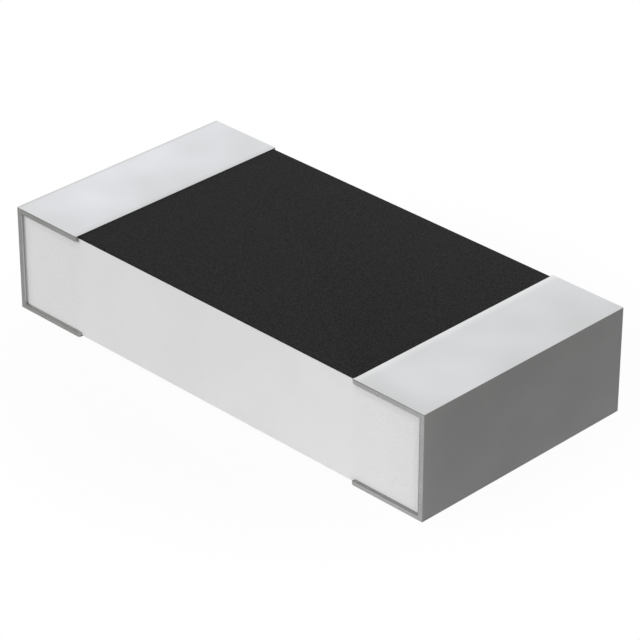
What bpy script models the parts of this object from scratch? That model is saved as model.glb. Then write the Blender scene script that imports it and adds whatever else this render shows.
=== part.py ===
# Chip resistor, case size 1206: a ceramic block with a resistive film printed on its top,
# glass and a black coat over the film, and a plated terminal wrapped round each end.
#
# +X runs along the chip, +Y across it and +Z up. The origin is on the board it sits on,
# under the chip's middle. Sizes are in millimetres, because the layers are only a few
# thousandths thick, and each finished mesh is brought to metres.

import math

import bmesh
import bpy
from mathutils import Matrix, Vector

TO_METRES = Matrix.Scale(0.001, 4)

# The whole chip, over its terminals
CHIP_LENGTH = 3.2000
CHIP_WIDTH = 1.5720
CHIP_HEIGHT = 0.6580

# Layers that are bonded on the real part stand this far apart
SEAM = 0.0002

CERAMIC_EDGE_RADIUS = 0.0030

# Printed pads, film and coats, each given by its thickness and its outline
TOP_PAD_THICKNESS = 0.0025
BOTTOM_PAD_THICKNESS = 0.0015
BOTTOM_PAD_LENGTH = 0.4000
PAD_WIDTH = 1.3800
PAD_REACH_UNDER_COAT = 0.2000
FILM_THICKNESS = 0.0025
FILM_WIDTH = 1.1000
FILM_LAP_ON_PAD = 0.1200
GLAZE_THICKNESS = 0.0024
GLAZE_PAST_FILM_END = 0.0300
GLAZE_PAST_FILM_EDGE = 0.0600
COAT_THICKNESS = 0.0024
COAT_SETBACK = 0.0033

# Laser trim: a cut in from one side of the film, then along it
TRIM_CUT_WIDTH = 0.0400
TRIM_CUT_START = -0.2600
TRIM_CUT_DEPTH = 0.4200
TRIM_CUT_RUN = 0.5200

# Terminals: three layers, each over the last, and a frame that laps the ceramic's side faces.
# The end metal is dipped on, and lies thicker on the end and sides than on the top and underside.
TERMINAL_LENGTH = 0.5090
END_METAL_ON_SIDES = 0.0092
END_METAL_ON_FACES = 0.0054
NICKEL_THICKNESS = 0.0020
TIN_THICKNESS = 0.0032
FRAME_WIDTH = 0.0330
FRAME_CORNER_RADIUS = 0.0100
FOOT_RADIUS = 0.0100
TIP_RADIUS = 0.0150

# A cutter passes what it cuts by this much
CLEAR = 0.0500

# How far a facet's corner must stand out to be drawn, and the bend from which an edge is shaded sharp
LEAST_BOW = 0.0012
SHARP_BEND = math.radians(50)

# Where the layers lie, worked out from the sizes above
NICKEL_DEPTH = TIN_THICKNESS + SEAM
END_METAL_DEPTH = NICKEL_DEPTH + NICKEL_THICKNESS + SEAM
SIDE_DEPTH = END_METAL_DEPTH + END_METAL_ON_SIDES + SEAM
FACE_DEPTH = END_METAL_DEPTH + END_METAL_ON_FACES + SEAM
CERAMIC_END_X = CHIP_LENGTH / 2 - SIDE_DEPTH
CERAMIC_EDGE_Y = CHIP_WIDTH / 2 - SIDE_DEPTH
CERAMIC_BOTTOM = FACE_DEPTH + BOTTOM_PAD_THICKNESS + SEAM
CERAMIC_TOP = CHIP_HEIGHT - FACE_DEPTH - TOP_PAD_THICKNESS - SEAM
TIP_X = CHIP_LENGTH / 2 - TERMINAL_LENGTH
PAD_INNER_X = TIP_X - PAD_REACH_UNDER_COAT
PAD_OUTER_X = CERAMIC_END_X - CERAMIC_EDGE_RADIUS
PAD_TOP = CERAMIC_TOP + SEAM + TOP_PAD_THICKNESS
FILM_END_X = PAD_INNER_X + FILM_LAP_ON_PAD
FILM_END_TOP = PAD_TOP + SEAM + FILM_THICKNESS
GLAZE_TOP = FILM_END_TOP + SEAM + GLAZE_THICKNESS
COAT_TOP = GLAZE_TOP + SEAM + COAT_THICKNESS


def clear_scene():
    for item in list(bpy.data.objects):
        bpy.data.objects.remove(item, do_unlink=True)


def finish_material(name, colour, roughness, metallic=0.0):
    material = bpy.data.materials.new(name)
    material.use_nodes = True
    shader = material.node_tree.nodes["Principled BSDF"]
    shader.inputs["Base Color"].default_value = (*colour, 1.0)
    shader.inputs["Roughness"].default_value = roughness
    shader.inputs["Metallic"].default_value = metallic
    material.diffuse_color = (*colour, 1.0)
    return material


def finish_piece(name, shape, material, parent, turned=False):
    """The shape as an object in metres. One that is turned stands at the other end of the chip."""
    mesh = bpy.data.meshes.new(name)
    bmesh.ops.recalc_face_normals(shape, faces=shape.faces)
    shape.to_mesh(mesh)
    shape.free()
    mesh.transform(TO_METRES)
    mesh.materials.append(material)
    mesh.shade_smooth()
    mesh.set_sharp_from_angle(angle=SHARP_BEND)
    return place_piece(name, mesh, parent, turned)


def place_piece(name, mesh, parent, turned=False):
    piece = bpy.data.objects.new(name, mesh)
    piece.rotation_euler.z = math.pi if turned else 0.0
    piece.parent = parent
    bpy.context.scene.collection.objects.link(piece)
    return piece


def box(low, high):
    middle = [(a + b) / 2 for a, b in zip(low, high)]
    size = [b - a for a, b in zip(low, high)]
    shape = bmesh.new()
    bmesh.ops.create_cube(shape, size=1.0, matrix=Matrix.LocRotScale(Vector(middle), None, Vector(size)))
    return shape


def facets(radius):
    """How many facets round a right angle off, with no corner that stands out by less than LEAST_BOW."""
    count = 1
    while radius * (1 - math.cos(math.pi / 2 / (count + 1))) > LEAST_BOW:
        count += 1
    return count


def round_edges(shape, edges, radius, grow=0.0):
    """The shape with these edges rounded. The radius is that of the form before it was grown."""
    if radius > 0:
        bmesh.ops.bevel(
            shape, geom=list(edges), offset=radius + grow, offset_type="OFFSET",
            segments=facets(radius), profile=0.5, affect="EDGES", clamp_overlap=True)
    return shape


def arc(centre, radius, start, end, count):
    """Points on an arc in the XZ plane. Its angles are in degrees, from +X towards +Z."""
    turns = [math.radians(start + (end - start) * step / count) for step in range(count + 1)]
    return [(centre[0] + radius * math.cos(turn), centre[1] + radius * math.sin(turn)) for turn in turns]


def corner(x, z, radius, grow, start):
    """The corner at (x, z) of an outline, rounded by a quarter turn on from the angle start."""
    if radius <= 0:
        return [(x, z)]
    middle = math.radians(start + 45)
    centre_x = x - math.copysign(radius + grow, math.cos(middle))
    centre_z = z - math.copysign(radius + grow, math.sin(middle))
    return arc((centre_x, centre_z), radius + grow, start, start + 90, facets(radius))


def extruded(outline, to_point, direction):
    """A solid drawn out from a flat outline by one face's extrusion."""
    shape = bmesh.new()
    face = shape.faces.new([shape.verts.new(to_point(a, b)) for a, b in outline])
    drawn = bmesh.ops.extrude_face_region(shape, geom=[face])["geom"]
    moved = [item for item in drawn if isinstance(item, bmesh.types.BMVert)]
    bmesh.ops.translate(shape, verts=moved, vec=direction)
    bmesh.ops.recalc_face_normals(shape, faces=shape.faces)
    return shape


def across(outline, near_y, far_y):
    """An XZ outline drawn out along Y."""
    return extruded(outline, lambda x, z: (x, near_y, z), (0, far_y - near_y, 0))


def upright(outline, low_z, high_z):
    """An XY outline drawn out along Z."""
    return extruded(outline, lambda x, y: (x, y, low_z), (0, 0, high_z - low_z))


def helper_object(shape):
    mesh = bpy.data.meshes.new("helper")
    shape.to_mesh(mesh)
    shape.free()
    helper = bpy.data.objects.new("helper", mesh)
    bpy.context.scene.collection.objects.link(helper)
    return helper


def cut(shape, cutters):
    """The shape with each cutter taken away. It and the cutters are used up."""
    blank = helper_object(shape)
    tools = [helper_object(cutter) for cutter in cutters]
    for tool in tools:
        modifier = blank.modifiers.new("cut", "BOOLEAN")
        modifier.operation = "DIFFERENCE"
        modifier.solver = "EXACT"
        modifier.object = tool
    bpy.context.view_layer.update()
    done = blank.evaluated_get(bpy.context.evaluated_depsgraph_get())
    result = bmesh.new()
    result.from_mesh(done.to_mesh())
    done.to_mesh_clear()
    for helper in [blank, *tools]:
        bpy.data.meshes.remove(helper.data, do_unlink=True)
    return result


def ceramic_shape(grow=0.0):
    """The ceramic block, or its form grown by a seam to cut the layers round it."""
    x = CERAMIC_END_X + grow
    y = CERAMIC_EDGE_Y + grow
    block = box((-x, -y, CERAMIC_BOTTOM - grow), (x, y, CERAMIC_TOP + grow))
    return round_edges(block, block.edges, CERAMIC_EDGE_RADIUS, grow)


def pad_shape(inner_x, low_z, high_z, grow):
    """A printed pad at the +X end, from inner_x out to the ceramic's end."""
    low = (inner_x - grow, -PAD_WIDTH / 2 - grow, low_z - grow)
    high = (PAD_OUTER_X + grow, PAD_WIDTH / 2 + grow, high_z + grow)
    return box(low, high)


def top_pad_shape(grow=0.0):
    return pad_shape(PAD_INNER_X, CERAMIC_TOP + SEAM, PAD_TOP, grow)


def bottom_pad_shape(grow=0.0):
    inner_x = CERAMIC_END_X - BOTTOM_PAD_LENGTH
    high_z = CERAMIC_BOTTOM - SEAM
    return pad_shape(inner_x, high_z - BOTTOM_PAD_THICKNESS, high_z, grow)


def other_end(shape):
    """The shape turned half a turn about the chip's middle."""
    bmesh.ops.rotate(shape, verts=shape.verts, cent=(0, 0, 0), matrix=Matrix.Rotation(math.pi, 3, "Z"))
    return shape


def trim_cut_shape(grow=0.0):
    """The L of the laser cut. Grown layers keep a narrower cut, so grow takes from its width."""
    half = TRIM_CUT_WIDTH / 2 - grow
    mouth = -FILM_WIDTH / 2 - GLAZE_PAST_FILM_EDGE - CLEAR
    turn_y = -FILM_WIDTH / 2 + TRIM_CUT_DEPTH
    far_x = TRIM_CUT_START + TRIM_CUT_RUN
    outline = [
        (TRIM_CUT_START - half, mouth),
        (TRIM_CUT_START + half, mouth),
        (TRIM_CUT_START + half, turn_y - half),
        (far_x - half, turn_y - half),
        *arc((far_x - half, turn_y), half, -90, 90, 2 * facets(half))[1:-1],
        (far_x - half, turn_y + half),
        (TRIM_CUT_START - half, turn_y + half),
    ]
    return upright(outline, CERAMIC_BOTTOM, COAT_TOP + CLEAR)


def film_block(grow=0.0):
    """The resistive film before its trim: flat on the ceramic, and stepped up over the end of each pad."""
    inner_riser = PAD_INNER_X - SEAM + grow
    outer_riser = PAD_INNER_X - SEAM - FILM_THICKNESS - grow
    end_x = FILM_END_X + grow
    middle_low = CERAMIC_TOP + SEAM - grow
    middle_high = CERAMIC_TOP + SEAM + FILM_THICKNESS + grow
    end_low = PAD_TOP + SEAM - grow
    end_high = FILM_END_TOP + grow
    right = [
        (outer_riser, middle_high),
        (outer_riser, end_high),
        (end_x, end_high),
        (end_x, end_low),
        (inner_riser, end_low),
        (inner_riser, middle_low),
    ]
    left = [(-x, z) for x, z in reversed(right)]
    half_width = FILM_WIDTH / 2 + grow
    return across(right + left, -half_width, half_width)


def film_shape():
    return cut(film_block(), [trim_cut_shape()])


def glaze_block(grow=0.0):
    """The outside of the glass over the film."""
    x = FILM_END_X + GLAZE_PAST_FILM_END + grow
    y = FILM_WIDTH / 2 + GLAZE_PAST_FILM_EDGE + grow
    return box((-x, -y, CERAMIC_TOP + SEAM - grow), (x, y, GLAZE_TOP + grow))


def both_top_pads():
    return [top_pad_shape(SEAM), other_end(top_pad_shape(SEAM))]


def glaze_shape():
    """The glass over the film and the pads' ends. The laser cuts through it to reach the film."""
    return cut(glaze_block(), [film_block(SEAM), *both_top_pads(), trim_cut_shape()])


def coat_shape():
    """The black coat, level on top, which fills the trim cut and closes over the pads' ends."""
    x = TIP_X - SEAM
    y = CERAMIC_EDGE_Y - COAT_SETBACK
    block = box((-x, -y, CERAMIC_TOP + SEAM), (x, y, COAT_TOP))
    glaze = cut(glaze_block(SEAM), [trim_cut_shape(SEAM)])
    return cut(block, [glaze, *both_top_pads()])


def edge_radius(depth):
    """The end metal's edges are sharp, and each layer plated over them rounds them by its thickness."""
    return END_METAL_DEPTH - depth


def terminal_outline(depth, grow):
    """The terminal's outline from the side, this far below its outer surface."""
    tip_x = TIP_X + depth - grow
    end_x = CHIP_LENGTH / 2 - depth + grow
    low_z = depth - grow
    top_z = CHIP_HEIGHT - depth + grow
    return [
        *corner(tip_x, low_z, TIP_RADIUS - depth, grow, 180),
        *corner(end_x, low_z, FOOT_RADIUS - depth, grow, 270),
        *corner(end_x, top_z, edge_radius(depth), grow, 0),
        (tip_x, top_z),
    ]


def frame_opening(depth, grow):
    """The outline of the opening in the terminal's side, inside the frame that laps on the ceramic."""
    tip_x = TIP_X + depth - grow
    end_x = CHIP_LENGTH / 2 - FRAME_WIDTH + depth - grow
    low_z = FRAME_WIDTH - depth + grow
    high_z = CHIP_HEIGHT - FRAME_WIDTH + depth - grow
    tip = TIP_RADIUS - depth + grow
    inner = FRAME_CORNER_RADIUS + depth - grow
    tip_count = facets(TIP_RADIUS - depth)
    inner_count = facets(FRAME_CORNER_RADIUS + depth)
    return [
        (tip_x - CLEAR, low_z - tip),
        *arc((tip_x + tip, low_z - tip), tip, 180, 90, tip_count),
        *arc((end_x - inner, low_z + inner), inner, 270, 360, inner_count),
        *arc((end_x - inner, high_z - inner), inner, 0, 90, inner_count),
        *arc((tip_x + tip, high_z + tip), tip, 270, 180, tip_count),
        (tip_x - CLEAR, high_z + tip),
    ]


def terminal_form(depth, grow=0.0):
    """The whole terminal as one solid, this far below its outer surface, with its side frames."""
    half_width = CHIP_WIDTH / 2 - depth + grow
    inside = CERAMIC_EDGE_Y - CLEAR
    outside = CHIP_WIDTH / 2 + CLEAR
    opening = frame_opening(depth, grow)
    form = cut(
        across(terminal_outline(depth, grow), -half_width, half_width),
        [across(opening, inside, outside), across(opening, -outside, -inside)])
    tolerance = SEAM / 10
    rims = [
        edge for edge in form.edges
        if all(abs(abs(vertex.co.y) - half_width) < tolerance for vertex in edge.verts)
        and edge.verts[0].co.y * edge.verts[1].co.y > 0
    ]
    return round_edges(form, rims, edge_radius(depth), grow)


def terminal_layer(outer_depth, inner_form=None):
    """One layer of the terminal: its form less the layer under it, the pads and the ceramic."""
    inside = [] if inner_form is None else [inner_form]
    return cut(
        terminal_form(outer_depth),
        [*inside, ceramic_shape(SEAM), top_pad_shape(SEAM), bottom_pad_shape(SEAM)])


def make_ceramic(root):
    alumina = finish_material("fired_alumina", (0.80, 0.80, 0.79), 0.55)
    finish_piece("alumina_substrate", ceramic_shape(), alumina, root)


def make_pads(root):
    silver = finish_material("fired_silver", (0.72, 0.70, 0.66), 0.45, 1.0)
    for name, shape in (("top_electrode", top_pad_shape()), ("bottom_electrode", bottom_pad_shape())):
        right = finish_piece("right_" + name, shape, silver, root)
        place_piece("left_" + name, right.data, root, turned=True)


def make_film_and_coats(root):
    oxide = finish_material("resistive_oxide", (0.035, 0.035, 0.040), 0.50)
    glass = finish_material("glass_glaze", (0.12, 0.30, 0.20), 0.20)
    epoxy = finish_material("black_epoxy", (0.026, 0.026, 0.027), 0.60)
    finish_piece("resistor_film", film_shape(), oxide, root)
    finish_piece("glass_glaze", glaze_shape(), glass, root)
    finish_piece("black_overcoat", coat_shape(), epoxy, root)


def make_terminals(root):
    silver = finish_material("end_silver", (0.70, 0.68, 0.64), 0.50, 1.0)
    nickel = finish_material("plated_nickel", (0.62, 0.60, 0.55), 0.35, 1.0)
    tin = finish_material("plated_tin", (0.80, 0.80, 0.81), 0.40, 1.0)
    layers = (
        ("end_metal", END_METAL_DEPTH, None, silver),
        ("nickel_barrier", NICKEL_DEPTH, END_METAL_DEPTH, nickel),
        ("tin_plating", 0.0, NICKEL_DEPTH, tin),
    )
    for name, outer_depth, inner_depth, material in layers:
        inner_form = None if inner_depth is None else terminal_form(inner_depth, SEAM)
        right = finish_piece("right_" + name, terminal_layer(outer_depth, inner_form), material, root)
        place_piece("left_" + name, right.data, root, turned=True)


def main():
    clear_scene()
    root = bpy.data.objects.new("chip_resistor", None)
    bpy.context.scene.collection.objects.link(root)
    make_ceramic(root)
    make_pads(root)
    make_film_and_coats(root)
    make_terminals(root)


main()
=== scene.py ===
import math

import bmesh
import bpy
from mathutils import Matrix, Vector


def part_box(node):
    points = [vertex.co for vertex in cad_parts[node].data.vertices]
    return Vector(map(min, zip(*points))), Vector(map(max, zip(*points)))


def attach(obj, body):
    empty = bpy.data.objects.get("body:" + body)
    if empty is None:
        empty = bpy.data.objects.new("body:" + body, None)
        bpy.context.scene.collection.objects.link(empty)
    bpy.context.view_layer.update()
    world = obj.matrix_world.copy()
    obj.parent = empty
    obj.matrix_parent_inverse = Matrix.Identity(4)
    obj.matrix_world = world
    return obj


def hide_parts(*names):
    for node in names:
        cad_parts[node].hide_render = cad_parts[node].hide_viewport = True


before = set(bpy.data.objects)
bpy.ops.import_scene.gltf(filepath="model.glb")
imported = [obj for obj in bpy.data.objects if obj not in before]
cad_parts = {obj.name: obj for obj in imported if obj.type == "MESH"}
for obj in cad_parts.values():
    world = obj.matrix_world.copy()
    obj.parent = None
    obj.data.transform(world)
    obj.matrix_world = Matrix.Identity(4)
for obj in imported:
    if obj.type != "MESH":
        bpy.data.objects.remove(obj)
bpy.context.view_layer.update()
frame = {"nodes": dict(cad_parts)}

# A chip resistor in the 1206 case. Everything is modelled in millimetres and brought to metres
# when it is finished, because its layers are only a few thousandths of a millimetre thick.
millimetre = 0.001
slack = 0.00005                  # how near a point must be to count as lying on a plane
white = (1, 1, 1, 1)


def nodeBox(name):
    low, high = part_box(name)
    return low / millimetre, high / millimetre


tinLow, tinHigh = nodeBox("right_tin_plating")
nickelHigh = nodeBox("right_nickel_barrier")[1]
ceramicLow, ceramicHigh = nodeBox("alumina_substrate")
coatLow, coatHigh = nodeBox("black_overcoat")


# Modelling by hand, in small steps

def clearSelection():
    if bpy.context.object and bpy.context.object.mode != "OBJECT":
        bpy.ops.object.mode_set(mode="OBJECT")
    bpy.ops.object.select_all(action="DESELECT")


def pick(piece):
    clearSelection()
    piece.select_set(True)
    bpy.context.view_layer.objects.active = piece


def addBlock(name, low, high):
    clearSelection()
    middle = [(a + b) / 2 for a, b in zip(low, high)]
    size = [b - a for a, b in zip(low, high)]
    bpy.ops.mesh.primitive_cube_add(size=1, location=middle, scale=size)
    block = bpy.context.object
    block.name = name
    bpy.ops.object.transform_apply(location=True, rotation=False, scale=True)
    return block


def roundEdges(piece, test, radius, segments):
    # rounds the edges whose two ends pass the test
    pick(piece)
    bpy.ops.object.mode_set(mode="EDIT")
    bpy.ops.mesh.select_mode(type="EDGE")
    bpy.ops.mesh.select_all(action="DESELECT")
    shape = bmesh.from_edit_mesh(piece.data)
    for edge in shape.edges:
        edge.select = test(*(vertex.co for vertex in edge.verts))
    bmesh.update_edit_mesh(piece.data)
    bpy.ops.mesh.bevel(offset=radius, segments=segments, profile=0.5, affect="EDGES", clamp_overlap=True)
    bpy.ops.object.mode_set(mode="OBJECT")


def cutAway(piece, tools):
    pick(piece)
    for tool in tools:
        cut = piece.modifiers.new("cut", "BOOLEAN")
        cut.operation = "DIFFERENCE"
        cut.solver = "EXACT"
        cut.object = tool
        bpy.ops.object.modifier_apply(modifier=cut.name)
    for tool in tools:
        bpy.data.meshes.remove(tool.data, do_unlink=True)


def cutAcross(piece, point, normal):
    # cuts every face that the plane meets, and takes nothing away
    pick(piece)
    bpy.ops.object.mode_set(mode="EDIT")
    bpy.ops.mesh.select_all(action="SELECT")
    bpy.ops.mesh.bisect(plane_co=point, plane_no=normal)
    bpy.ops.object.mode_set(mode="OBJECT")


def paintFaces(piece, test, slot):
    # gives the faces whose middle and normal pass the test the material in this slot
    pick(piece)
    bpy.ops.object.mode_set(mode="EDIT")
    bpy.ops.mesh.select_mode(type="FACE")
    bpy.ops.mesh.select_all(action="DESELECT")
    shape = bmesh.from_edit_mesh(piece.data)
    for face in shape.faces:
        face.select = test(face.calc_center_median(), face.normal)
    bmesh.update_edit_mesh(piece.data)
    piece.active_material_index = slot
    bpy.ops.object.material_slot_assign()
    bpy.ops.object.mode_set(mode="OBJECT")


def finishPiece(piece, smoothDeg=35):
    # brings it to metres, with its place in its mesh
    pick(piece)
    piece.scale = (millimetre,) * 3
    bpy.ops.object.transform_apply(location=True, rotation=True, scale=True)
    bpy.ops.object.shade_smooth_by_angle(angle=math.radians(smoothDeg))


def near(value, target):
    return abs(value - target) < slack


# Materials, built from nodes on Object coordinates

def hexColour(code):
    channels = [int(code[i:i + 2], 16) / 255 for i in (1, 3, 5)]
    linear = [c / 12.92 if c <= 0.04045 else ((c + 0.055) / 1.055) ** 2.4 for c in channels]
    return (*linear, 1.0)


def addNode(tree, kind, values=None, links=None, **settings):
    node = tree.nodes.new(kind)
    for name, value in settings.items():
        setattr(node, name, value)
    for socket, value in (values or {}).items():
        node.inputs[socket].default_value = value
    for socket, source in (links or {}).items():
        tree.links.new(source, node.inputs[socket])
    return node


def newMaterial(name):
    material = bpy.data.materials.new(name)
    material.use_nodes = True
    tree = material.node_tree
    place = addNode(tree, "ShaderNodeTexCoord").outputs["Object"]
    return material, tree, tree.nodes["Principled BSDF"], place


def perMetre(sizeMm):
    return 1 / (sizeMm * millimetre)


def toneAlong(tree, coordinate, tones):
    # a colour that changes along one coordinate, from stops of millimetres and colour
    firstMm, lastMm = tones[0][0], tones[-1][0]
    share = addNode(tree, "ShaderNodeMapRange",
                    {"From Min": firstMm * millimetre, "From Max": lastMm * millimetre},
                    {"Value": coordinate})
    ramp = addNode(tree, "ShaderNodeValToRGB", links={0: share.outputs[0]})
    stops = ramp.color_ramp.elements
    while len(stops) < len(tones):
        stops.new(1.0)
    for stop, (placeMm, code) in zip(stops, tones):
        stop.position = (placeMm - firstMm) / (lastMm - firstMm)
        stop.color = hexColour(code)
    return ramp.outputs[0]


# Matte tin, plated in a bath. Its fine crystals blur what it mirrors, and it clouds in soft patches.
# Each kind of face has its own copy of the tin, with light and shade painted into its tone: the flat faces
# are slightly blue, and painted shade darkens the end, the side frames, the ledges and lines along the edges.
# Each tone eases along one axis, from stops of millimetres and colour.
tinLooks = {
    # the flat faces: painted shade at the left end's outer edge and by the left tip, a painted highlight by
    # the right tip, and the left top painted lighter than the right
    "tinOnFaces": {"axis": "X", "patchMm": 0.46, "patchDull": "#efefec", "grainDepthMm": 0.00003,
                   "roughnessLow": 0.16, "roughnessHigh": 0.20,
                   "tones": ((-1.600, "#cacbca"), (-1.576, "#e5e6eb"), (-1.135, "#e0e1e5"),
                             (-1.095, "#d6d7da"), (1.093, "#ecedef"), (1.145, "#dadbde"),
                             (1.600, "#d7d8db"))},
    # the ends, in painted shade: darker than the tops, and darker still towards their top, which mirrors
    # brighter floor
    "tinPaintedShadeOnEnds": {"axis": "Z", "patchMm": 0.30, "patchDull": "#f6f6f7", "grainDepthMm": 0.00004,
                  "roughnessLow": 0.22, "roughnessHigh": 0.26,
                  "tones": ((0.000, "#cccccc"), (0.330, "#c7c6c6"), (0.570, "#bfbebd"), (0.658, "#bdbcbb"))},
    # the side frames, in painted shade that is darker on the left terminal than on the right
    "tinPaintedShadeOnFrames": {"axis": "X", "patchMm": 0.12, "patchDull": "#f3f3f2", "grainDepthMm": 0.0001,
                    "roughnessLow": 0.26, "roughnessHigh": 0.34,
                    "tones": ((-1.600, "#d0d0ce"), (1.600, "#e8e8e8"))},
    # the frames' up-facing ledges, the legs' upper bands and the lips' tips, in painted shade where the
    # frames shade them
    "tinPaintedShadeOnLedges": {"axis": "X", "patchMm": 0.05, "patchDull": "#f0f0ef", "grainDepthMm": 0.0001,
                    "roughnessLow": 0.34, "roughnessHigh": 0.42,
                    "tones": ((-1.600, "#a9a9a8"), (1.600, "#a0a0a0"))},
    # painted shade as dark lines along the frames' edges and beside the coat, lighter on the left upright's
    # inner line
    "tinPaintedShadeOnEdges": {"axis": "X", "patchMm": 0.05, "patchDull": "#f4f4f3", "grainDepthMm": 0.00005,
                   "roughnessLow": 0.30, "roughnessHigh": 0.36,
                   "tones": ((-1.600, "#d0d0cf"), (-1.566, "#d0d0cf"), (-1.560, "#9a9a99"),
                             (1.093, "#9a9a99"), (1.600, "#bababa"))},
}
tinTexture = {
    "patchSeed": 78.0,           # where the soft patches fall
    "patchFrom": 0.32,           # the noise between these two goes from dull to clear
    "patchTo": 0.68,
    "grainMm": 0.012,            # its crystals are about 0.005 mm, and are drawn coarser so that they show
    "grainFrom": 0.3,
    "grainTo": 0.7,
}


def makeTin(name, look):
    texture = tinTexture
    material, tree, shader, place = newMaterial(name)
    along = addNode(tree, "ShaderNodeSeparateXYZ", links={0: place})
    # the painted light and shade of this copy of the tin
    tone = toneAlong(tree, along.outputs[look["axis"]], look["tones"])
    patches = addNode(tree, "ShaderNodeTexNoise",
                      {"Scale": perMetre(look["patchMm"]), "Detail": 1.0, "Roughness": 0.45,
                       "W": texture["patchSeed"]}, {"Vector": place}, noise_dimensions="4D")
    spread = addNode(tree, "ShaderNodeMapRange",
                     {"From Min": texture["patchFrom"], "From Max": texture["patchTo"]},
                     {"Value": patches.outputs[0]})
    clouds = addNode(tree, "ShaderNodeMix", {6: hexColour(look["patchDull"]), 7: white},
                     {0: spread.outputs[0]}, data_type="RGBA")
    clouded = addNode(tree, "ShaderNodeMix", {0: 1.0}, {6: tone, 7: clouds.outputs[2]},
                      data_type="RGBA", blend_type="MULTIPLY")
    grain = addNode(tree, "ShaderNodeTexNoise",
                    {"Scale": perMetre(texture["grainMm"]), "Detail": 3.0, "Roughness": 0.6},
                    {"Vector": place})
    blur = addNode(tree, "ShaderNodeMapRange",
                   {"From Min": texture["grainFrom"], "From Max": texture["grainTo"],
                    "To Min": look["roughnessLow"], "To Max": look["roughnessHigh"]},
                   {"Value": grain.outputs[0]})
    relief = addNode(tree, "ShaderNodeBump", {"Strength": 1.0, "Distance": look["grainDepthMm"] * millimetre},
                     {"Height": grain.outputs[0]})
    shader.inputs["Metallic"].default_value = 1.0
    tree.links.new(clouded.outputs[2], shader.inputs["Base Color"])
    tree.links.new(blur.outputs[0], shader.inputs["Roughness"])
    tree.links.new(relief.outputs[0], shader.inputs["Normal"])
    return material


# Fired alumina, 96 % pure. Chalk white and dull, with fine darker specks that are strongest by the terminals.
firedAlumina = {
    # painted shade: darker towards the left end, lightest by the right end
    "tones": ((-1.2, "#ececec"), (-0.8, "#eaeaea"), (0.0, "#efefef"), (1.3, "#fcfcfc")),
    "topShade": "#f9f9f9",        # painted shade: it darkens by this much from its foot to its top
    "cloudMm": 0.45,
    "cloudDull": "#fafafa",
    "cloudFrom": 0.3,            # the noise between these two goes from dull to clear
    "cloudTo": 0.7,
    "sandMm": 0.010,             # grains of about 0.003 mm, drawn coarser so that they show
    "sandDull": "#f6f6f5",
    "sandFrom": 0.55,
    "sandTo": 0.35,
    "sandLeast": 0.12,           # how sandy it is in the middle, of the full share by the terminals
    "sandFromMm": 1.03,          # from the middle of the chip
    "sandToMm": 1.16,
    "frameShade": "#f1f1f1",          # painted shade: a faint grey under the frames' lips and beside the frames, which shade the ceramic
    "frameShadeMm": 0.07,             # and it fades over this distance
    "frameShadeFromMm": 1.06,         # from the middle of the chip, under the frames' lips
    "frameShadeToMm": 1.12,
    "pitMm": 0.018,
    "pitDepthMm": 0.0004,
    "roughness": 0.62,
    "gloss": 0.3,
}


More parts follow.
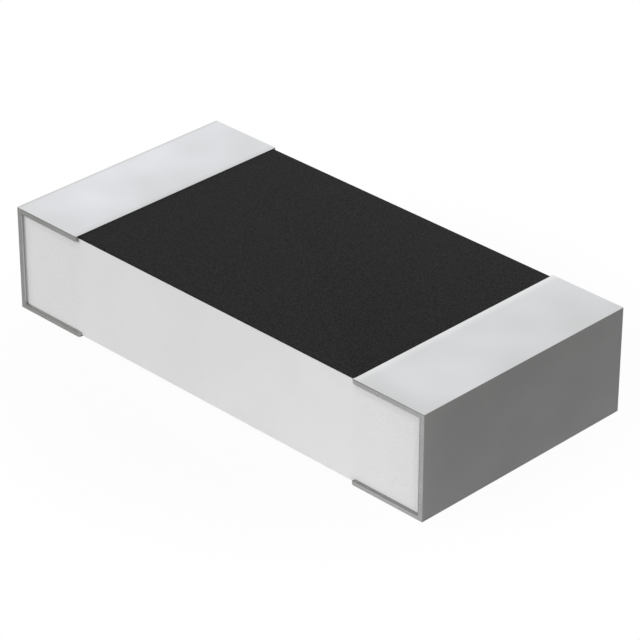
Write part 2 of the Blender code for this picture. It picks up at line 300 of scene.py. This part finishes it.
def makeAlumina():
    look = firedAlumina
    material, tree, shader, place = newMaterial("firedAlumina")
    along = addNode(tree, "ShaderNodeSeparateXYZ", links={0: place})
    # painted shade along the chip
    tone = toneAlong(tree, along.outputs["X"], look["tones"])
    # painted shade, darker towards the top
    upward = toneAlong(tree, along.outputs["Z"],
                       ((ceramicLow.z, "#ffffff"), (ceramicHigh.z, look["topShade"])))
    toned = addNode(tree, "ShaderNodeMix", {0: 1.0}, {6: tone, 7: upward},
                    data_type="RGBA", blend_type="MULTIPLY")
    clouds = addNode(tree, "ShaderNodeTexNoise",
                     {"Scale": perMetre(look["cloudMm"]), "Detail": 4.0, "Roughness": 0.55},
                     {"Vector": place})
    spread = addNode(tree, "ShaderNodeMapRange", {"From Min": look["cloudFrom"], "From Max": look["cloudTo"]},
                     {"Value": clouds.outputs[0]})
    cloudTone = addNode(tree, "ShaderNodeMix", {6: hexColour(look["cloudDull"]), 7: white},
                        {0: spread.outputs[0]}, data_type="RGBA")
    clouded = addNode(tree, "ShaderNodeMix", {0: 1.0}, {6: toned.outputs[2], 7: cloudTone.outputs[2]},
                      data_type="RGBA", blend_type="MULTIPLY")
    sand = addNode(tree, "ShaderNodeTexNoise",
                   {"Scale": perMetre(look["sandMm"]), "Detail": 2.0, "Roughness": 0.7}, {"Vector": place})
    sandSpread = addNode(tree, "ShaderNodeMapRange",
                         {"From Min": look["sandFrom"], "From Max": look["sandTo"]},
                         {"Value": sand.outputs[0]})
    fromMiddle = addNode(tree, "ShaderNodeMath", links={0: along.outputs["X"]}, operation="ABSOLUTE")
    sandShare = addNode(tree, "ShaderNodeMapRange",
                        {"From Min": look["sandFromMm"] * millimetre,
                         "From Max": look["sandToMm"] * millimetre,
                         "To Min": look["sandLeast"], "To Max": 1.0}, {"Value": fromMiddle.outputs[0]},
                        interpolation_type="SMOOTHSTEP")
    sandAmount = addNode(tree, "ShaderNodeMath", links={0: sandSpread.outputs[0], 1: sandShare.outputs[0]},
                         operation="MULTIPLY")
    sanded = addNode(tree, "ShaderNodeMix", {7: hexColour(look["sandDull"])},
                     {0: sandAmount.outputs[0], 6: clouded.outputs[2]},
                     data_type="RGBA", blend_type="MULTIPLY")
    # painted shade under the frames' lips and beside the uprights
    lipZ = tinHigh.z - terminal["left"]["lipWidth"]
    frameX = tinHigh.x - terminal["legWidth"]
    underLip = addNode(tree, "ShaderNodeMapRange",
                       {"From Min": (lipZ - look["frameShadeMm"]) * millimetre, "From Max": lipZ * millimetre},
                       {"Value": along.outputs["Z"]}, interpolation_type="SMOOTHSTEP")
    byTerminal = addNode(tree, "ShaderNodeMapRange",
                         {"From Min": look["frameShadeFromMm"] * millimetre,
                          "From Max": look["frameShadeToMm"] * millimetre},
                         {"Value": fromMiddle.outputs[0]}, interpolation_type="SMOOTHSTEP")
    shadeUnderLip = addNode(tree, "ShaderNodeMath", links={0: underLip.outputs[0], 1: byTerminal.outputs[0]},
                       operation="MULTIPLY")
    shadeBesideFrame = addNode(tree, "ShaderNodeMapRange",
                         {"From Min": (frameX - look["frameShadeMm"]) * millimetre,
                          "From Max": frameX * millimetre},
                         {"Value": fromMiddle.outputs[0]}, interpolation_type="SMOOTHSTEP")
    frameShadeShare = addNode(tree, "ShaderNodeMath", links={0: shadeUnderLip.outputs[0], 1: shadeBesideFrame.outputs[0]},
                         operation="MAXIMUM")
    shaded = addNode(tree, "ShaderNodeMix", {7: hexColour(look["frameShade"])},
                      {0: frameShadeShare.outputs[0], 6: sanded.outputs[2]},
                      data_type="RGBA", blend_type="MULTIPLY")
    pits = addNode(tree, "ShaderNodeTexNoise",
                   {"Scale": perMetre(look["pitMm"]), "Detail": 3.0, "Roughness": 0.6}, {"Vector": place})
    relief = addNode(tree, "ShaderNodeBump", {"Strength": 1.0, "Distance": look["pitDepthMm"] * millimetre},
                     {"Height": pits.outputs[0]})
    shader.inputs["Roughness"].default_value = look["roughness"]
    shader.inputs["Specular IOR Level"].default_value = look["gloss"]
    tree.links.new(shaded.outputs[2], shader.inputs["Base Color"])
    tree.links.new(relief.outputs[0], shader.inputs["Normal"])
    return material


# Black epoxy, screen printed and cured. Its filler breaks the surface up, so it hardly shines.
blackEpoxy = {
    "dark": "#060606",
    "light": "#3c3c3c",
    # painted shade: darker towards the left end
    "tones": ((-1.1, "#d4d4d4"), (0.0, "#efefef"), (1.1, "#ffffff")),
    "fillerMm": 0.009,           # filler grains of about 0.004 mm, drawn coarser so that they show
    "fillerFrom": 0.30,          # the noise between these two goes from dark to light
    "fillerTo": 0.70,
    "fillerDepthMm": 0.0003,
    "roughness": 0.75,
    "gloss": 0.12,
}


def makeEpoxy():
    look = blackEpoxy
    material, tree, shader, place = newMaterial("printedBlackEpoxy")
    filler = addNode(tree, "ShaderNodeTexNoise",
                     {"Scale": perMetre(look["fillerMm"]), "Detail": 2.0, "Roughness": 0.7},
                     {"Vector": place})
    spread = addNode(tree, "ShaderNodeMapRange",
                     {"From Min": look["fillerFrom"], "From Max": look["fillerTo"]},
                     {"Value": filler.outputs[0]})
    tone = addNode(tree, "ShaderNodeMix", {6: hexColour(look["dark"]), 7: hexColour(look["light"])},
                   {0: spread.outputs[0]}, data_type="RGBA")
    along = addNode(tree, "ShaderNodeSeparateXYZ", links={0: place})
    # painted shade, darker towards the left end
    toned = addNode(tree, "ShaderNodeMix", {0: 1.0},
                    {6: tone.outputs[2], 7: toneAlong(tree, along.outputs["X"], look["tones"])},
                    data_type="RGBA", blend_type="MULTIPLY")
    relief = addNode(tree, "ShaderNodeBump",
                     {"Strength": 1.0, "Distance": look["fillerDepthMm"] * millimetre},
                     {"Height": filler.outputs[0]})
    shader.inputs["Roughness"].default_value = look["roughness"]
    shader.inputs["Specular IOR Level"].default_value = look["gloss"]
    tree.links.new(toned.outputs[2], shader.inputs["Base Color"])
    tree.links.new(relief.outputs[0], shader.inputs["Normal"])
    return material


# Terminals

# Each terminal laps a frame on to both side faces of the ceramic: a lip along the top, an upright by
# the end and a leg along the bottom. The reach is how far the tips of its lip and leg pass the edge
# of the top. The inside is the form of the nickel, which the tin must hide.
terminal = {
    "legWidth": 0.0330,
    "right": {"lipWidth": 0.0335, "endWidth": 0.0330, "reach": 0.0045},
    "left": {"lipWidth": 0.0360, "endWidth": 0.0301, "reach": -0.0028},
    "inside": {"lipWidth": 0.0330, "endWidth": 0.0330, "reach": 0.0},
    "frameCorner": 0.0100,
    "outerCorner": 0.0015,
    "tipRadius": 0.0120,
    "rimRadius": 0.0020,
    "legShadeBand": 0.0072,           # how far down a leg's side its upper band of painted shade reaches
    "edgeShadeBand": 0.0055,          # how far the painted dark line of shade along the other edges reaches
    "seam": 0.0002,              # between the tin and the layers under it
    "clear": 0.05,               # how far the cutting blocks pass the surface
    "rimSegments": 3,
    "cornerSegments": 6,
}


def terminalForm(name, depth, frame):
    # the whole terminal as one solid, this far below its outer surface
    size = terminal
    tipX, endX = tinLow.x + depth, tinHigh.x - depth
    lowZ, topZ = tinLow.z + depth, tinHigh.z - depth
    halfY = tinHigh.y - depth
    tip = size["tipRadius"] - depth
    corner = size["outerCorner"] - depth
    form = addBlock(name, (tipX, -halfY, lowZ), (endX, halfY, topZ))
    roundEdges(form, lambda a, b: near(a.x, endX) and near(b.x, endX) and near(a.y, b.y),
               corner, size["cornerSegments"])
    roundEdges(form, lambda a, b: all(near(p.x, tipX) and near(p.z, lowZ) for p in (a, b)),
               tip, size["cornerSegments"])

    innerX = tinHigh.x - frame["endWidth"] + depth
    openLow = tinLow.z + size["legWidth"] - depth
    openHigh = tinHigh.z - frame["lipWidth"] + depth
    innerY, outerY = ceramicHigh.y - size["clear"], halfY + size["clear"]
    openings = []
    for nearY, farY in ((innerY, outerY), (-outerY, -innerY)):
        opening = addBlock("opening", (tipX - size["clear"], nearY, openLow), (innerX, farY, openHigh))
        roundEdges(opening, lambda a, b: all(near(p.x, innerX) for p in (a, b)) and near(a.z, b.z),
                   size["frameCorner"] + depth, size["cornerSegments"])
        openings.append(opening)
    cutAway(form, openings)
    roundEdges(form, lambda a, b: all(near(p.x, tipX) for p in (a, b)) and near(a.z, b.z)
               and (near(a.z, openLow) or near(a.z, openHigh)), tip, size["cornerSegments"])

    def isRim(a, b):
        onSide = near(abs(a.y), halfY) and near(abs(b.y), halfY) and a.y * b.y > 0
        onCorner = near(a.x, endX - corner) and near(b.x, endX - corner)
        onTop = near(a.z, topZ) and near(b.z, topZ)
        onFoot = near(a.z, lowZ) and near(b.z, lowZ) and min(a.x, b.x) > endX - corner - slack
        return (onSide and not onCorner) or onTop or onFoot

    if size["rimRadius"] > depth:
        roundEdges(form, isRim, size["rimRadius"] - depth, size["rimSegments"])

    # the frames' tips are moved along, apart from the top and the underside between them
    sideY = ceramicHigh.y + size["seam"]
    for cutY in (sideY, -sideY):
        cutAcross(form, (0, cutY, 0), (0, 1, 0))
    pick(form)
    bpy.ops.object.mode_set(mode="EDIT")
    bpy.ops.mesh.select_mode(type="VERT")
    bpy.ops.mesh.select_all(action="DESELECT")
    shape = bmesh.from_edit_mesh(form.data)
    for vertex in shape.verts:
        vertex.select = abs(vertex.co.y) > sideY + slack and vertex.co.x < tipX + size["tipRadius"] + slack
    bmesh.update_edit_mesh(form.data)
    bpy.ops.transform.translate(value=(-frame["reach"], 0, 0))
    bpy.ops.object.mode_set(mode="OBJECT")
    return form


def makeTinCap(name, frame):
    # the right terminal's skin, made where that one stands
    cap = terminalForm(name, 0.0, frame)
    inside = terminalForm("inside", tinHigh.x - nickelHigh.x - terminal["seam"], terminal["inside"])
    grown = terminal["seam"]
    block = addBlock("block", [v - grown for v in ceramicLow], [v + grown for v in ceramicHigh])
    cutAway(cap, [inside, block])
    return cap


legTop = tinLow.z + terminal["legWidth"]

# which way a face must look to count as one of these, as a part of its normal along X or Z
facing = {"end": 0.7, "sideTilt": 0.7, "inward": -0.9, "tip": -0.2, "ledge": 0.3, "lineTilt": 0.5}


def isEnd(middle, normal):
    return normal.x > facing["end"] and middle.x > tinHigh.x - terminal["outerCorner"]


def isFrame(middle, normal):
    # the side frames, without the uprights' inner faces
    onSide = abs(middle.y) > ceramicHigh.y + slack and abs(normal.z) < facing["sideTilt"]
    onUpright = middle.z > legTop and middle.x > tinLow.x + terminal["tipRadius"]
    onInner = onUpright and normal.x < facing["inward"]
    return onSide and not onInner and not isEnd(middle, normal)


def paintCap(cap, frame, finishes):
    for tin in finishes:
        cap.data.materials.append(tin)
    innerX = tinHigh.x - frame["endWidth"]
    lineX = innerX + terminal["edgeShadeBand"]
    bandZ = legTop - terminal["legShadeBand"]
    lipZ = tinHigh.z - frame["lipWidth"]
    lineZ = tinHigh.z - terminal["edgeShadeBand"]
    frameY = tinHigh.y - terminal["rimRadius"]
    for cutX in (innerX, lineX):
        cutAcross(cap, (cutX, 0, 0), (1, 0, 0))
    for cutZ in (bandZ, legTop, lipZ, lineZ):
        cutAcross(cap, (0, 0, cutZ), (0, 0, 1))

    def isShadedLedge(middle, normal):
        # the faces painted in shade: the frames' edges that face up, the upper band of each leg's side, and
        # the tips of the lips
        onFrame = abs(middle.y) > ceramicHigh.y + slack and middle.x < tinHigh.x - terminal["outerCorner"]
        facesUp = normal.z > facing["ledge"] and middle.z < lipZ
        onBand = middle.x < innerX and bandZ < middle.z < legTop
        onTip = normal.x < facing["tip"] and middle.z > lipZ
        return onFrame and (facesUp or onBand or onTip)

    def isShadeLine(middle, normal):
        # a painted dark line of shade along the top of each frame and down its inner side, and on the edge
        # beside the coat
        onSide = abs(middle.y) > frameY
        onTop = onSide and middle.z > lineZ and normal.z < facing["lineTilt"] and normal.x > facing["tip"]
        onInner = onSide and middle.x < lineX and legTop < middle.z < lipZ
        byCoat = normal.x < facing["tip"] and middle.z > lipZ and abs(middle.y) < ceramicHigh.y
        return onTop or onInner or byCoat

    # slots 1 to 4 hold the copies of the tin that carry painted shade
    for slot, test in ((1, isEnd), (2, isFrame), (3, isShadedLedge), (4, isShadeLine)):
        paintFaces(cap, test, slot)


print("terminals")
tinFinishes = [makeTin(name, look) for name, look in tinLooks.items()]
rightCap = makeTinCap("rightTinCap", terminal["right"])
leftCap = makeTinCap("leftTinCap", terminal["left"])
paintCap(rightCap, terminal["right"], tinFinishes)
paintCap(leftCap, terminal["left"], tinFinishes)
for cap, turn, node in ((rightCap, 0, "right_tin_plating"), (leftCap, math.pi, "left_tin_plating")):
    cap.rotation_euler.z = turn
    finishPiece(cap)
    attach(cap, "root")
    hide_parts(node)


# Ceramic block

ceramic = {"edgeRadius": 0.0015, "edgeSegments": 3}

print("ceramic")
block = addBlock("ceramicBlock", ceramicLow, ceramicHigh)
roundEdges(block, lambda a, b: True, ceramic["edgeRadius"], ceramic["edgeSegments"])
block.data.materials.append(makeAlumina())
finishPiece(block)
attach(block, "root")
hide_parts("alumina_substrate")


# Black coat

coat = {"topRadius": 0.0020, "cornerRadius": 0.0060, "segments": 4, "spread": 0.0018}

print("coat")
spread = Vector((0, coat["spread"], 0))
slab = addBlock("blackCoat", coatLow - spread, coatHigh + spread)
roundEdges(slab, lambda a, b: near(a.x, b.x) and near(a.y, b.y), coat["cornerRadius"], coat["segments"])
roundEdges(slab, lambda a, b: near(a.z, coatHigh.z) and near(b.z, coatHigh.z),
           coat["topRadius"], coat["segments"])
slab.data.materials.append(makeEpoxy())
finishPiece(slab)
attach(slab, "root")
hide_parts("black_overcoat")


# Layers under the tin and the coat, which the CAD shapes stand for as they are

hiddenLayers = {
    # nickel plated in a bath: a warm grey, brighter and smoother than the silver under it
    "platedNickel": {"nodes": ("right_nickel_barrier", "left_nickel_barrier"),
                     "dark": "#b9b4a9", "light": "#cdc8bd",
                     "patchMm": 0.06, "depthMm": 0.0002, "roughness": 0.32, "metallic": 1.0},
    # silver dipped on and fired: pale, with the pores that its binder left
    "dippedEndSilver": {"nodes": ("right_end_metal", "left_end_metal"),
                        "dark": "#c2beb6", "light": "#dedad2",
                        "patchMm": 0.03, "depthMm": 0.0006, "roughness": 0.52, "metallic": 1.0},
    # silver printed through a screen and fired: its mesh leaves a faint unevenness
    "printedPadSilver": {"nodes": ("right_top_electrode", "left_top_electrode",
                                   "right_bottom_electrode", "left_bottom_electrode"),
                         "dark": "#c9c5bd", "light": "#e2dfd8",
                         "patchMm": 0.05, "depthMm": 0.0004, "roughness": 0.45, "metallic": 1.0},
    # resistive oxide in glass: almost black, with grey specks of the oxide
    "rutheniumOxideFilm": {"nodes": ("resistor_film",), "dark": "#2b2b2e", "light": "#3d3d42",
                           "patchMm": 0.02, "depthMm": 0.0003, "roughness": 0.45, "metallic": 0.0},
    # green overglaze, fired till it flows: a smooth gloss that dips over the film
    "greenOverglaze": {"nodes": ("glass_glaze",), "dark": "#5c8f74", "light": "#6da384",
                       "patchMm": 0.12, "depthMm": 0.0003, "roughness": 0.16, "metallic": 0.0},
}
hiddenPatchFrom = 0.3            # the noise between these two goes from dark to light
hiddenPatchTo = 0.7


def makeHiddenLayer(name, look):
    material, tree, shader, place = newMaterial(name)
    patches = addNode(tree, "ShaderNodeTexNoise",
                      {"Scale": perMetre(look["patchMm"]), "Detail": 4.0, "Roughness": 0.6},
                      {"Vector": place})
    spread = addNode(tree, "ShaderNodeMapRange", {"From Min": hiddenPatchFrom, "From Max": hiddenPatchTo},
                     {"Value": patches.outputs[0]})
    tone = addNode(tree, "ShaderNodeMix", {6: hexColour(look["dark"]), 7: hexColour(look["light"])},
                   {0: spread.outputs[0]}, data_type="RGBA")
    relief = addNode(tree, "ShaderNodeBump", {"Strength": 1.0, "Distance": look["depthMm"] * millimetre},
                     {"Height": patches.outputs[0]})
    shader.inputs["Roughness"].default_value = look["roughness"]
    shader.inputs["Metallic"].default_value = look["metallic"]
    tree.links.new(tone.outputs[2], shader.inputs["Base Color"])
    tree.links.new(relief.outputs[0], shader.inputs["Normal"])
    return material


print("hidden layers")
for name, look in hiddenLayers.items():
    finish = makeHiddenLayer(name, look)
    for node in look["nodes"]:
        for materialSlot in frame["nodes"][node].material_slots:
            materialSlot.material = finish


# Floor, world, lamp and camera

studio = {
    "floorColour": "#e0e0e0",
    "floorSizeM": 0.8,
    "floorDropM": 0.000001,
    "cameraWhite": 0.94,         # by the chip, and the rest there is the floor's lit colour and its shadow
    "cameraWhiteFromM": 0.0012,
    "cameraWhiteToM": 0.0024,    # all that it sees from here on is the white backdrop
    "whiteFromM": 0.008,         # what the metal mirrors turns from the floor's own shade here
    "whiteToM": 0.030,           # to the white backdrop here
    "ambient": 0.42,
    "keyAzimuthDeg": -46,
    "keyElevationDeg": 14,
    "keyDistanceM": 0.30,
    "keySizeM": 0.20,
    "keyLevel": 0.71,            # what a white face square to it would render at
}


def makeFloor():
    clearSelection()
    bpy.ops.mesh.primitive_plane_add(size=studio["floorSizeM"], location=(0, 0, -studio["floorDropM"]))
    floor = bpy.context.object
    floor.name = "studioFloor"
    bpy.ops.object.transform_apply(location=True, rotation=False, scale=False)
    material, tree, shader, place = newMaterial("paleFloor")
    tree.nodes.remove(shader)
    output = tree.nodes["Material Output"]
    rays = addNode(tree, "ShaderNodeLightPath")
    away = addNode(tree, "ShaderNodeVectorMath", links={0: place}, operation="LENGTH")
    ring = addNode(tree, "ShaderNodeMapRange",
                   {"From Min": studio["whiteFromM"], "From Max": studio["whiteToM"]},
                   {"Value": away.outputs["Value"]}, interpolation_type="SMOOTHSTEP")
    mirrored = addNode(tree, "ShaderNodeMath",
                       links={0: rays.outputs["Is Glossy Ray"], 1: rays.outputs["Is Transmission Ray"]},
                       operation="MAXIMUM")
    mirroredShare = addNode(tree, "ShaderNodeMath", links={0: mirrored.outputs[0], 1: ring.outputs[0]},
                            operation="MULTIPLY")
    cameraRing = addNode(tree, "ShaderNodeMapRange",
                         {"From Min": studio["cameraWhiteFromM"], "From Max": studio["cameraWhiteToM"],
                          "To Min": studio["cameraWhite"], "To Max": 1.0},
                         {"Value": away.outputs["Value"]}, interpolation_type="SMOOTHSTEP")
    share = addNode(tree, "ShaderNodeMath",
                    links={0: rays.outputs["Is Camera Ray"], 1: cameraRing.outputs[0],
                           2: mirroredShare.outputs[0]}, operation="MULTIPLY_ADD")
    paint = addNode(tree, "ShaderNodeMix", {6: hexColour(studio["floorColour"]), 7: white},
                    {0: rays.outputs["Is Camera Ray"]}, data_type="RGBA")
    dull = addNode(tree, "ShaderNodeBsdfDiffuse", links={"Color": paint.outputs[2]})
    glow = addNode(tree, "ShaderNodeEmission", {"Color": white, "Strength": 1.0})
    mix = addNode(tree, "ShaderNodeMixShader",
                  links={0: share.outputs[0], 1: dull.outputs[0], 2: glow.outputs[0]})
    tree.links.new(mix.outputs[0], output.inputs["Surface"])
    floor.data.materials.append(material)


def makeWorld():
    world = bpy.data.worlds.new("studioWorld")
    bpy.context.scene.world = world
    world.use_nodes = True
    tree = world.node_tree
    background = tree.nodes["Background"]
    rays = addNode(tree, "ShaderNodeLightPath")
    seen = addNode(tree, "ShaderNodeMath",
                   links={0: rays.outputs["Is Camera Ray"], 1: rays.outputs["Is Glossy Ray"]},
                   operation="MAXIMUM")
    seenToo = addNode(tree, "ShaderNodeMath",
                      links={0: seen.outputs[0], 1: rays.outputs["Is Transmission Ray"]},
                      operation="MAXIMUM")
    level = addNode(tree, "ShaderNodeMapRange", {"To Min": studio["ambient"], "To Max": 1.0},
                    {"Value": seenToo.outputs[0]})
    background.inputs["Color"].default_value = white
    tree.links.new(level.outputs[0], background.inputs["Strength"])


def awayFrom(azimuthDeg, elevationDeg):
    # azimuth runs from the front, -Y, towards the right, +X
    azimuth, elevation = math.radians(azimuthDeg), math.radians(elevationDeg)
    return Vector((math.sin(azimuth) * math.cos(elevation), -math.cos(azimuth) * math.cos(elevation),
                   math.sin(elevation)))


def makeKeyLamp():
    back = awayFrom(studio["keyAzimuthDeg"], studio["keyElevationDeg"])
    bpy.ops.object.light_add(type="AREA", location=back * studio["keyDistanceM"])
    lamp = bpy.context.object
    lamp.name = "keyLamp"
    lamp.data.shape = "DISK"
    lamp.data.size = studio["keySizeM"]
    lamp.data.energy = studio["keyLevel"] * (math.pi * studio["keyDistanceM"]) ** 2
    lamp.rotation_euler = back.to_track_quat("Z", "Y").to_euler()
    lamp.visible_glossy = False


# The camera, as solved from the straight edges of the chip in the photo
view = {
    "azimuthDeg": 44.849235,
    "elevationDeg": 30.004939,
    "rollDeg": 0.123987,
    "distanceMm": 18.139495,
    "aimMm": (-0.042370, 0.107487, 0.183710),
    "lensMm": 179.987,
    "sensorMm": 36,
    "clipNearM": 0.001,
    "clipFarM": 10,
}


def makeCamera():
    back = awayFrom(view["azimuthDeg"], view["elevationDeg"])
    across = Vector((0, 0, 1)).cross(back).normalized()
    upward = back.cross(across)
    turn = Matrix((across, upward, back)).transposed()
    turn = turn @ Matrix.Rotation(math.radians(view["rollDeg"]), 3, "Z")
    place = (Vector(view["aimMm"]) + back * view["distanceMm"]) * millimetre
    bpy.ops.object.camera_add(location=place, rotation=turn.to_euler())
    camera = bpy.context.object
    camera.name = "photoCamera"
    camera.data.lens = view["lensMm"]
    camera.data.sensor_width = view["sensorMm"]
    camera.data.clip_start = view["clipNearM"]
    camera.data.clip_end = view["clipFarM"]
    bpy.context.scene.camera = camera


print("studio")
makeFloor()
makeWorld()
makeKeyLamp()
makeCamera()
bpy.context.scene.view_settings.view_transform = "Standard"
